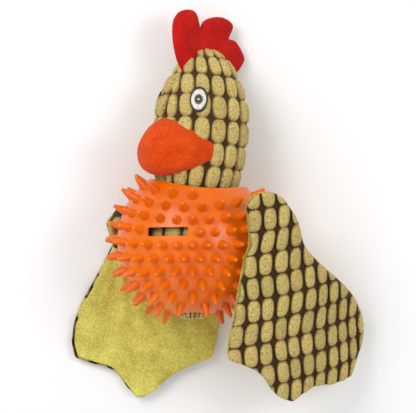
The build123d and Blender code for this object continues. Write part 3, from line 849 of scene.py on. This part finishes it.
right_top = curve_through((-50.0, -8.0), (-43.0, -3.0), (-36.0, 2.0))
right_left = curve_through((-50.0, -8.0), (-56.0, -20.0), (-62.5, -32.0), (-72.0, -50.0), (-76.0, -68.0),
                           (-74.0, -80.0))
right_bottom = np.vstack([
    curve_through((-74.0, -80.0), (-65.0, -83.0), (-50.0, -88.0), (-42.0, -98.0), (-35.0, -106.0))[:-1],
    curve_through((-35.0, -106.0), (-25.0, -101.5), (-14.0, -91.0), (0.0, -84.0), (11.5, -80.0))])
right_right = curve_through((-36.0, 2.0), (-33.0, -16.0), (-22.0, -30.0), (-4.0, -37.5), (13.0, -48.0),
                            (15.6, -60.0), (11.5, -80.0))
right_top, right_right, right_bottom, right_left = soft_sides(right_top, right_right, right_bottom,
                                                              right_left, point_softness)
right_outline = np.vstack([right_top[:-1], right_right[:-1], right_bottom[::-1][:-1],
                           right_left[::-1][:-1]])
right_shoulder = np.array((-45.0, -6.0))
wing_floor = (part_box("right_wing_plush")[0].z - ball_centre.z) * 1000
net = wing_patch(right_top, right_right, right_bottom, right_left, columns, rows)
inward = edge_distance(net.reshape(-1, 2), right_outline).reshape(rows, columns)


def on_table(net, height):
    """Places on the flat wing in metres, height in millimetres above the table."""
    places = np.stack([net[..., 0], net[..., 1], wing_floor + height + 0 * net[..., 0]], -1)
    return (places * 0.001 + ball_place).reshape(-1, 3)


columns_at = net[..., 0] / 10.6 + 0.07 * np.sin(net[..., 1] * 0.09)
rows_at = net[..., 1] / 14.0 + 0.05 * np.sin(net[..., 0] * 0.11)
height, covered, toned_by = kernel_pile(columns_at + 30, rows_at + 30)
wrap = np.sqrt(1 - (1 - np.clip(inward / 2.4, 0, 1)) ** 2)
pile_low = 5.0 - (1.5 + 3.4 * height) * (0.3 + 0.7 * wrap)
rim = np.clip((5.5 - inward) / 2.0, 0, 1)
pile_high = 5.0 - 1.6 * rim + rim * 3.0 * height * wrap - 0.8 * (1 - wrap)
under = on_table(net, pile_low)
over = on_table(net, np.maximum(pile_high, pile_low + 0.5))
rim_fuzz = tufts(over, 0.0017, 5) * 0.0003 * (rim * covered).reshape(-1)
over = over + np.array((0, 0, 1)) * rim_fuzz[:, None]
right_plush = cloth_piece("right_wing_kernel_plush", np.vstack([over, under]), two_sided(rows, columns),
                          corn_plush, cover=np.concatenate([covered.ravel(), covered.ravel()]),
                          tone=np.concatenate([toned_by.ravel(), toned_by.ravel()]))
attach(right_plush, "right_wing")
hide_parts("right_wing_plush")

film_middle = net.reshape(-1, 2).mean(0)
film_net = film_middle + (net[::3, ::3] - film_middle) * 0.86
film_rows, film_columns = film_net.shape[:2]
film_layers = np.vstack([on_table(film_net, 5.6), on_table(film_net, 5.25)])
right_film = cloth_piece("right_wing_crackling_film", film_layers, two_sided(film_rows, film_columns),
                         film_plastic)
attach(right_film, "right_wing")
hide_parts("right_wing_film")

left_edge = 1 - np.linspace(0, 1, columns)[None, :]
bottom_edge = np.linspace(0, 1, rows)[:, None]
lining_net = net.copy()
lining_net[..., 0] += 1.9 * left_edge ** 3 * (0.4 + 0.6 * np.clip((-net[..., 1] - 8) / 30, 0, 1))
lining_net[..., 1] += 1.4 * bottom_edge ** 6 * np.clip(left_edge * 2 - 0.5, 0, 1)
from_shoulder = lining_net - right_shoulder
way = np.arctan2(from_shoulder[..., 0], -from_shoulder[..., 1])
far = np.hypot(from_shoulder[..., 0], from_shoulder[..., 1])
folds = 0.5 + 0.32 * np.sin(way * 11.0 + 0.6) + 0.18 * np.sin(way * 23.0 + far * 0.03)
ease = np.clip(far / 25, 0, 1) * np.clip((125 - far) / 70, 0.25, 1) * np.clip(inward / 9, 0, 1)
pleats = 2.6 * folds * ease
edge_drop = 1 - np.sqrt(1 - (1 - np.clip(inward / 2.0, 0, 1)) ** 2)
lining_high = 6.95 + pleats - 0.5 * edge_drop
lining_low = 5.75 + pleats
right_lining = cloth_piece("right_wing_lime_lining", np.vstack([on_table(lining_net, lining_high),
                           on_table(lining_net, lining_low)]), two_sided(rows, columns), lime_fleece)
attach(right_lining, "right_wing")
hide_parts("right_wing_lining")

# ---- shoulder strips and their stitches ------------------------------------------------
# A short strip of the same plush comes out of each side opening of the ball, and a row of
# hand stitches in brown thread joins its end to the wing.

joints = {j["name"]: j for j in frame["joints"]}
for side in ("left", "right"):
    source = frame["nodes"][side + "_wing_root"]
    strip = bpy.data.objects.new(side + "_shoulder_strip", source.data.copy())
    bpy.context.scene.collection.objects.link(strip)
    bpy.context.view_layer.objects.active = strip
    melt = strip.modifiers.new("melt", "REMESH")
    melt.mode = "VOXEL"
    melt.voxel_size = 0.0007
    melt.use_smooth_shade = True
    calm = strip.modifiers.new("calm", "SMOOTH")
    calm.iterations = 6
    shape = bpy.data.meshes.new_from_object(strip.evaluated_get(bpy.context.evaluated_depsgraph_get()))
    strip.modifiers.clear()
    strip.data = shape
    spots = np.array([v.co for v in shape.vertices])
    outs = np.array([v.normal for v in shape.vertices])
    lump = tufts(spots, 0.0055, 6)
    curl = tufts(spots, 0.0016, 7)
    spots = spots + outs * (lump * 0.0006 + curl * 0.0003)[:, None]
    shape.vertices.foreach_set("co", spots.astype(np.float32).ravel())
    # Cover shows the brown ground in the dents between the lumps. Tone rises with the lump, so the dents
    # get painted shade and the lump tops get painted light.
    for label, values in (("cover", np.clip(0.75 + 2.2 * lump, 0, 1)), ("tone", 0.5 + 0.5 * lump)):
        mark = shape.attributes.new(label, "FLOAT", "POINT")
        mark.data.foreach_set("value", values.astype(np.float32))
    shape.materials.clear()
    shape.materials.append(corn_plush)
    shape.shade_smooth()
    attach(strip, "torso")
    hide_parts(side + "_wing_root")

    seam_way = Vector(joints[side + "_wing_lift"]["axis"]).normalized()
    seam_middle = Vector(joints[side + "_wing_lift"]["pos_m"])
    seam_up = Vector((0, 1, 0)).cross(seam_way).normalized()
    seam_along = seam_way.cross(seam_up).normalized()
    stitch_points = []
    stitch_faces = []
    for n in range(6):
        at = seam_middle + seam_way * (n - 2.5) * 0.0018
        first = len(stitch_points)
        for i in range(13):
            end = math.pi * i / 12
            thick = 0.00038 * max(math.sin(end), 0.02)
            for j in range(10):
                turn = 2 * math.pi * j / 10
                stitch_points.append(at + seam_along * math.cos(end) * 0.0007
                                     + (seam_way * math.cos(turn) + seam_up * math.sin(turn)) * thick)
        stitch_faces += [tuple(first + v for v in f) for f in ring_faces(13, 10)]
        stitch_faces.append(tuple(first + v for v in reversed(range(10))))
        stitch_faces.append(tuple(first + 120 + v for v in range(10)))
    stitches = cloth_piece(side + "_shoulder_stitches", stitch_points, stitch_faces, thread)
    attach(stitches, side + "_shoulder")
    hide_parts(side + "_wing_seam")

# ---- squeaker --------------------------------------------------------------------------
# A thin plastic bulb with a small plug and reed, loose in the stuffing. None of it shows.

squeaker_plastic, nodes, links, body = shader("milky_squeaker_plastic")
place = nodes.new("ShaderNodeTexCoord")
flow = nodes.new("ShaderNodeTexNoise")
flow.inputs["Scale"].default_value = 220
links.new(place.outputs["Object"], flow.inputs["Vector"])
milk = nodes.new("ShaderNodeValToRGB")
milk.color_ramp.elements[0].color = (0.70, 0.70, 0.67, 1)
milk.color_ramp.elements[1].color = (0.82, 0.82, 0.80, 1)
links.new(flow.outputs["Fac"], milk.inputs["Fac"])
links.new(milk.outputs["Color"], body.inputs["Base Color"])
body.inputs["Roughness"].default_value = 0.4
for part in ("squeaker_bulb", "squeaker_housing", "squeaker_reed"):
    shown = frame["nodes"][part]
    shown.data.materials.clear()
    shown.data.materials.append(squeaker_plastic)
